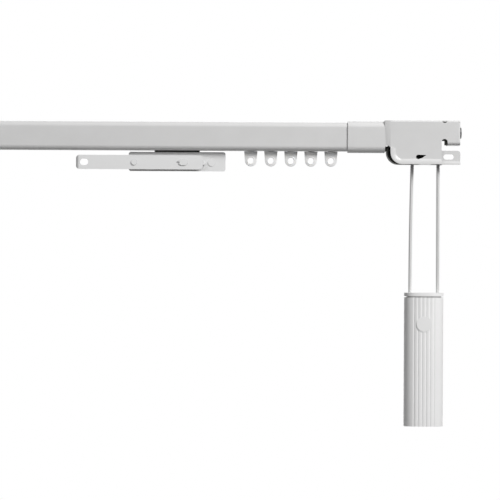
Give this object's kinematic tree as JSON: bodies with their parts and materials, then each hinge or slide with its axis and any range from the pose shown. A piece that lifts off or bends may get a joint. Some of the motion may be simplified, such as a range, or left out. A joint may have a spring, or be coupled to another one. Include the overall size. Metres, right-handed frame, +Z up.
{
  "type": "extendable curtain track",
  "caption": "Telescopic corded curtain track with eyed slides, overlapping master slides, wall brackets and a weighted pull-cord loop.",
  "frame": {"origin": "midpoint between the right wall bracket's two screw holes, on the wall face", "axes": "+X along the track to the end where the cord hangs, +Y into the wall, +Z up"},
  "size_m": [1.223, 0.0892, 0.2745],
  "materials": {
    "white_enamel": "baked white enamel, satin",
    "dark_plastic": "moulded, matt",
    "white_nylon": "moulded, slightly translucent",
    "weight_plastic": "moulded, satin",
    "braided_cord": "fine white braid",
    "ballast_iron": "rough",
    "zinc_plate": "zinc plated, satin"
  },
  "bodies": {
    "wall_base_right": {"bracket_base_right": "zinc_plate", "projection_nut_right": "zinc_plate"},
    "projection_bolt_right": {"projection_screw_right": "zinc_plate"},
    "fixed_rail": {"bracket_arm_right": "zinc_plate", "clamp_nut_right": "zinc_plate", "outer_track": "white_enamel", "end_shell_right": "white_enamel", "pulley_cage_right": "dark_plastic", "end_frame_right": "white_enamel", "pulley_axles_right": "zinc_plate", "track_cord": "braided_cord"},
    "clamp_bolt_right": {"clamp_screw_right": "zinc_plate"},
    "lower_wheel": {"pulley_lower_run": "white_nylon"},
    "upper_wheel": {"pulley_upper_run": "white_nylon"},
    "traveller_right_1": {"slide_right_1": "white_nylon"},
    "traveller_right_2": {"slide_right_2": "white_nylon"},
    "traveller_right_3": {"slide_right_3": "white_nylon"},
    "traveller_right_4": {"slide_right_4": "white_nylon"},
    "traveller_right_5": {"slide_right_5": "white_nylon"},
    "lead_right": {"master_block_right": "dark_plastic", "master_plate_right": "white_enamel", "overlap_arm": "white_enamel", "master_rivets_right": "zinc_plate", "cord_ferrules_right": "zinc_plate"},
    "hanging_loop": {"cord_drop_left": "braided_cord", "cord_drop_right": "braided_cord", "weight_cord": "braided_cord", "weight_cap": "weight_plastic", "weight_front_cover": "weight_plastic", "weight_back_cover": "weight_plastic", "weight_axle": "weight_plastic", "weight_ballast": "ballast_iron", "weight_screws": "zinc_plate"},
    "weight_wheel": {"weight_pulley": "white_nylon"},
    "sliding_rail": {"inner_track": "white_enamel", "end_shell_left": "white_enamel", "pulley_cage_left": "dark_plastic", "end_frame_left": "white_enamel", "idler_axle": "zinc_plate", "bracket_arm_left": "zinc_plate", "clamp_nut_left": "zinc_plate"},
    "idler_wheel": {"idler_pulley": "white_nylon"},
    "traveller_left_1": {"slide_left_1": "white_nylon"},
    "traveller_left_2": {"slide_left_2": "white_nylon"},
    "traveller_left_3": {"slide_left_3": "white_nylon"},
    "traveller_left_4": {"slide_left_4": "white_nylon"},
    "traveller_left_5": {"slide_left_5": "white_nylon"},
    "lead_left": {"master_block_left": "dark_plastic", "master_plate_left": "white_enamel", "underlap_arm": "white_enamel", "master_rivets_left": "zinc_plate", "cord_ferrules_left": "zinc_plate"},
    "wall_base_left": {"bracket_base_left": "zinc_plate", "projection_nut_left": "zinc_plate"},
    "projection_bolt_left": {"projection_screw_left": "zinc_plate"},
    "clamp_bolt_left": {"clamp_screw_left": "zinc_plate"}
  },
  "joints": [
    {"name": "projection", "type": "slide", "parent": "wall_base_right", "child": "fixed_rail", "axis": [0, -1, 0], "range_m": [0, 0.03]},
    {"name": "extend", "type": "slide", "parent": "fixed_rail", "child": "sliding_rail", "axis": [-1, 0, 0], "range_m": [0, 0.914], "deforming": ["track_cord"]},
    {"name": "projection_left", "type": "slide", "parent": "sliding_rail", "child": "wall_base_left", "axis": [0, 1, 0], "range_m": [0, 0.03]},
    {"name": "draw", "type": "slide", "parent": "fixed_rail", "child": "lead_right", "axis": [-1, 0, 0], "range_m": [0, 0.315]},
    {"name": "draw_left", "type": "slide", "parent": "sliding_rail", "child": "lead_left", "axis": [1, 0, 0], "range_m": [0, 0.315]},
    {"name": "travel_right_1", "type": "slide", "parent": "fixed_rail", "child": "traveller_right_1", "axis": [-1, 0, 0], "range_m": [0, 0.0525]},
    {"name": "travel_right_2", "type": "slide", "parent": "fixed_rail", "child": "traveller_right_2", "axis": [-1, 0, 0], "range_m": [0, 0.105]},
    {"name": "travel_right_3", "type": "slide", "parent": "fixed_rail", "child": "traveller_right_3", "axis": [-1, 0, 0], "range_m": [0, 0.1575]},
    {"name": "travel_right_4", "type": "slide", "parent": "fixed_rail", "child": "traveller_right_4", "axis": [-1, 0, 0], "range_m": [0, 0.21]},
    {"name": "travel_right_5", "type": "slide", "parent": "fixed_rail", "child": "traveller_right_5", "axis": [-1, 0, 0], "range_m": [0, 0.2625]},
    {"name": "travel_left_1", "type": "slide", "parent": "sliding_rail", "child": "traveller_left_1", "axis": [1, 0, 0], "range_m": [0, 0.0525]},
    {"name": "travel_left_2", "type": "slide", "parent": "sliding_rail", "child": "traveller_left_2", "axis": [1, 0, 0], "range_m": [0, 0.105]},
    {"name": "travel_left_3", "type": "slide", "parent": "sliding_rail", "child": "traveller_left_3", "axis": [1, 0, 0], "range_m": [0, 0.1575]},
    {"name": "travel_left_4", "type": "slide", "parent": "sliding_rail", "child": "traveller_left_4", "axis": [1, 0, 0], "range_m": [0, 0.21]},
    {"name": "travel_left_5", "type": "slide", "parent": "sliding_rail", "child": "traveller_left_5", "axis": [1, 0, 0], "range_m": [0, 0.2625]},
    {"name": "turn_lower_wheel", "type": "hinge", "parent": "fixed_rail", "child": "lower_wheel", "pos_m": [-0.017, -0.0763, -0.011], "axis": [0, 1, 0], "continuous": true},
    {"name": "turn_upper_wheel", "type": "hinge", "parent": "fixed_rail", "child": "upper_wheel", "pos_m": [0.006, -0.0763, 0.001], "axis": [0, 1, 0], "continuous": true},
    {"name": "turn_idler", "type": "hinge", "parent": "sliding_rail", "child": "idler_wheel", "pos_m": [-1.147, -0.0763, 0.002], "axis": [0, 1, 0], "continuous": true},
    {"name": "turn_weight_wheel", "type": "hinge", "parent": "hanging_loop", "child": "weight_wheel", "pos_m": [0.0009, -0.0763, -0.1658], "axis": [0, 1, 0], "continuous": true},
    {"name": "swing", "type": "hinge", "parent": "fixed_rail", "child": "hanging_loop", "pos_m": [0.0009, -0.0763, -0.024], "axis": [1, 0, 0], "range_deg": [-40, 15]},
    {"name": "turn_clamp_screw_right", "type": "hinge", "parent": "fixed_rail", "child": "clamp_bolt_right", "pos_m": [0.032, -0.075, 0.0041], "axis": [1, 0, 0], "range_deg": [0, 360]},
    {"name": "turn_clamp_screw_left", "type": "hinge", "parent": "sliding_rail", "child": "clamp_bolt_left", "pos_m": [-1.187, -0.075, 0.0041], "axis": [-1, 0, 0], "range_deg": [0, 360]},
    {"name": "turn_projection_screw_right", "type": "hinge", "parent": "wall_base_right", "child": "projection_bolt_right", "pos_m": [0.0308, -0.044, 0.0041], "axis": [1, 0, 0], "range_deg": [0, 360]},
    {"name": "turn_projection_screw_left", "type": "hinge", "parent": "wall_base_left", "child": "projection_bolt_left", "pos_m": [-1.1858, -0.044, 0.0041], "axis": [-1, 0, 0], "range_deg": [0, 360]}
  ],
  "couplings": [
    {"joint": "projection_left", "follows": "projection", "ratio": 1},
    {"joint": "draw_left", "follows": "draw", "ratio": 1},
    {"joint": "travel_right_1", "follows": "draw", "ratio": 0.16667},
    {"joint": "travel_right_2", "follows": "draw", "ratio": 0.33333},
    {"joint": "travel_right_3", "follows": "draw", "ratio": 0.5},
    {"joint": "travel_right_4", "follows": "draw", "ratio": 0.66667},
    {"joint": "travel_right_5", "follows": "draw", "ratio": 0.83333},
    {"joint": "travel_left_1", "follows": "draw", "ratio": 0.16667},
    {"joint": "travel_left_2", "follows": "draw", "ratio": 0.33333},
    {"joint": "travel_left_3", "follows": "draw", "ratio": 0.5},
    {"joint": "travel_left_4", "follows": "draw", "ratio": 0.66667},
    {"joint": "travel_left_5", "follows": "draw", "ratio": 0.83333},
    {"joint": "turn_lower_wheel", "follows": "draw", "rad_per_m": -142.86},
    {"joint": "turn_upper_wheel", "follows": "draw", "rad_per_m": 142.86},
    {"joint": "turn_idler", "follows": "draw", "rad_per_m": 166.67},
    {"joint": "turn_weight_wheel", "follows": "draw", "rad_per_m": 81.301}
  ]
}
